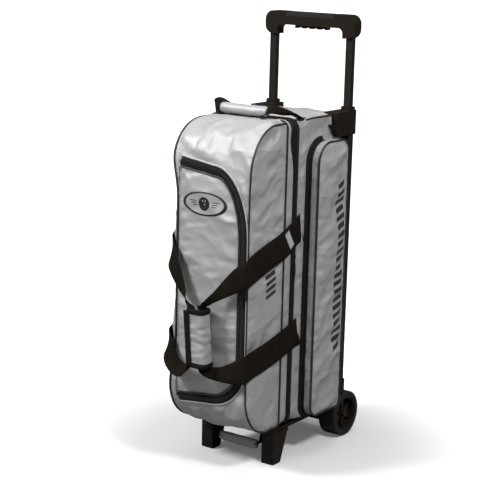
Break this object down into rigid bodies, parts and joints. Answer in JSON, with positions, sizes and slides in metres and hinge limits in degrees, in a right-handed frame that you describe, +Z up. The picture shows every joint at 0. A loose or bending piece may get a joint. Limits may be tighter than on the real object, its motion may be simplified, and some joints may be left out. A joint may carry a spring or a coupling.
{
  "type": "bowling ball bag",
  "caption": "Upright wheeled bowling ball bag with a swing-open front section, side pocket, joined carry straps, grab handles and a telescoping handle.",
  "frame": {"origin": "on the ground plane, under the middle of the part's bounding box at rest", "axes": "+Z up, the front face with the shoe pocket looks towards -Y, +X to the right when facing it; the wheels are at +Y"},
  "size_m": [0.3008, 0.5934, 1.166],
  "materials": {
    "silver_fabric": "satin ripstop weave",
    "charcoal_trim": "satin coated",
    "lining": "matte lining",
    "webbing": "ribbed webbing",
    "zip_tape": "coil zipper tape",
    "light_tab": "woven tab",
    "label": "woven blank label",
    "foam": "closed-cell foam",
    "black_plastic": "textured",
    "grip_plastic": "satin",
    "insert_rubber": "ribbed",
    "pull_rubber": "moulded",
    "slider_metal": "black enamel",
    "tube_metal": "black anodised",
    "steel": "plain",
    "tyre_rubber": "satin",
    "rim_plastic": "satin"
  },
  "bodies": {
    "case": {"case_sides": "silver_fabric", "case_top": "silver_fabric", "case_back": "silver_fabric", "case_floor": "lining", "case_piping": "charcoal_trim", "case_zip_tape": "zip_tape", "foam_cup": "foam", "base_deck": "black_plastic", "legs": "black_plastic", "wheel_carrier": "black_plastic", "axle": "steel", "corner_brackets": "grip_plastic", "screws": "steel", "lower_brackets": "black_plastic", "handle_sleeves": "tube_metal", "side_zip_tape": "zip_tape", "sewn_webbing": "webbing"},
    "front_door": {"front_skin": "silver_fabric", "gussets": "silver_fabric", "pocket_divider": "lining", "door_collar": "silver_fabric", "door_zip_tape": "zip_tape", "front_piping": "charcoal_trim", "flap_zip_tape": "zip_tape", "zip_end_tabs": "light_tab"},
    "shoe_flap": {"shoe_flap": "silver_fabric", "flap_edge_tape": "zip_tape", "oval_badge": "silver_fabric"},
    "upper_slider": {"slider_upper": "slider_metal"},
    "upper_pull": {"pull_upper": "pull_rubber"},
    "lower_slider": {"slider_lower": "slider_metal"},
    "lower_pull": {"pull_lower": "pull_rubber"},
    "main_slider": {"main_slider": "slider_metal"},
    "main_pull": {"main_pull": "pull_rubber"},
    "side_lid": {"side_lid_panel": "silver_fabric", "side_lid_gusset": "silver_fabric", "side_lid_piping": "charcoal_trim", "side_lid_tape": "zip_tape"},
    "side_slider": {"side_slider": "slider_metal"},
    "side_pull": {"side_pull": "pull_rubber"},
    "right_loop": {"strap_right": "webbing", "strap_label": "label", "strap_wrap": "silver_fabric", "wrap_binding": "webbing"},
    "left_loop": {"strap_left": "webbing"},
    "trolley": {"inner_tubes": "tube_metal", "grip_body": "grip_plastic", "grip_insert": "insert_rubber"},
    "trigger": {"release_trigger": "black_plastic", "pull_rods": "steel"},
    "wheel_left": {"tyre_left": "tyre_rubber", "rim_left": "rim_plastic", "cap_left": "rim_plastic"},
    "wheel_right": {"tyre_right": "tyre_rubber", "rim_right": "rim_plastic", "cap_right": "rim_plastic"},
    "top_handle": {"top_handle_web": "webbing", "top_handle_sleeve": "silver_fabric"},
    "low_handle": {"low_handle_web": "webbing", "low_handle_sleeve": "silver_fabric"}
  },
  "joints": [
    {"name": "door_swing", "type": "hinge", "parent": "case", "child": "front_door", "pos_m": [-0.128, -0.03275, 0.505], "axis": [0, 0, -1], "range_deg": [0, 60]},
    {"name": "right_loop_swing", "type": "hinge", "parent": "case", "child": "right_loop", "pos_m": [0.12, -0.01575, 0.49], "axis": [0, 0, 1], "range_deg": [0, 120]},
    {"name": "left_loop_swing", "type": "hinge", "parent": "case", "child": "left_loop", "pos_m": [-0.134, -0.01575, 0.49], "axis": [0, 0, -1], "range_deg": [0, 120]},
    {"name": "flap_swing", "type": "hinge", "parent": "front_door", "child": "shoe_flap", "pos_m": [-0.105, -0.23325, 0.495], "axis": [0, 0, -1], "range_deg": [0, 15]},
    {"name": "upper_slider_travel", "type": "slide", "parent": "shoe_flap", "child": "upper_slider", "axis": [0, 0, 1], "range_m": [0, 0.08]},
    {"name": "upper_pull_swing", "type": "hinge", "parent": "upper_slider", "child": "upper_pull", "pos_m": [0.0985, -0.23335, 0.526], "axis": [0, 1, 0], "range_deg": [0, 70]},
    {"name": "lower_slider_travel", "type": "slide", "parent": "shoe_flap", "child": "lower_slider", "axis": [0, 0, 1], "range_m": [-0.18, 0]},
    {"name": "lower_pull_swing", "type": "hinge", "parent": "lower_slider", "child": "lower_pull", "pos_m": [0.0985, -0.23335, 0.506], "axis": [0, 1, 0], "range_deg": [-20, 60]},
    {"name": "main_slider_travel", "type": "slide", "parent": "case", "child": "main_slider", "axis": [0, 0, 1], "range_m": [-0.09, 0.015]},
    {"name": "main_pull_swing", "type": "hinge", "parent": "main_slider", "child": "main_pull", "pos_m": [0.118, -0.03275, 0.556], "axis": [1, 0, 0], "range_deg": [-30, 30]},
    {"name": "side_lid_swing", "type": "hinge", "parent": "case", "child": "side_lid", "pos_m": [0.114, 0.17025, 0.48], "axis": [0, 0, 1], "range_deg": [0, 35]},
    {"name": "side_slider_travel", "type": "slide", "parent": "side_lid", "child": "side_slider", "axis": [0, 0, 1], "range_m": [-0.1, 0.05]},
    {"name": "side_pull_swing", "type": "hinge", "parent": "side_slider", "child": "side_pull", "pos_m": [0.118, 0.02175, 0.52], "axis": [1, 0, 0], "range_deg": [-30, 0]},
    {"name": "handle_travel", "type": "slide", "parent": "case", "child": "trolley", "axis": [0, 0, 1], "range_m": [-0.168, 0]},
    {"name": "trigger_squeeze", "type": "slide", "parent": "trolley", "child": "trigger", "axis": [0, 0, 1], "range_m": [0, 0.006], "stiffness_N_per_m": 200},
    {"name": "wheel_left_spin", "type": "hinge", "parent": "case", "child": "wheel_left", "pos_m": [-0.121, 0.23225, 0.0635], "axis": [1, 0, 0], "continuous": true},
    {"name": "wheel_right_spin", "type": "hinge", "parent": "case", "child": "wheel_right", "pos_m": [0.107, 0.23225, 0.0635], "axis": [1, 0, 0], "continuous": true},
    {"name": "top_handle_swing", "type": "hinge", "parent": "case", "child": "top_handle", "pos_m": [-0.007, -0.01575, 0.915], "axis": [-1, 0, 0], "range_deg": [0, 100]},
    {"name": "low_handle_swing", "type": "hinge", "parent": "case", "child": "low_handle", "pos_m": [-0.007, -0.08075, 0.084], "axis": [1, 0, 0], "range_deg": [-50, 50]}
  ],
  "couplings": [
    {"joint": "right_loop_swing", "follows": "door_swing", "ratio": 2},
    {"joint": "left_loop_swing", "follows": "door_swing", "ratio": 2},
    {"joint": "flap_swing", "follows": "door_swing", "ratio": 0.25}
  ]
}
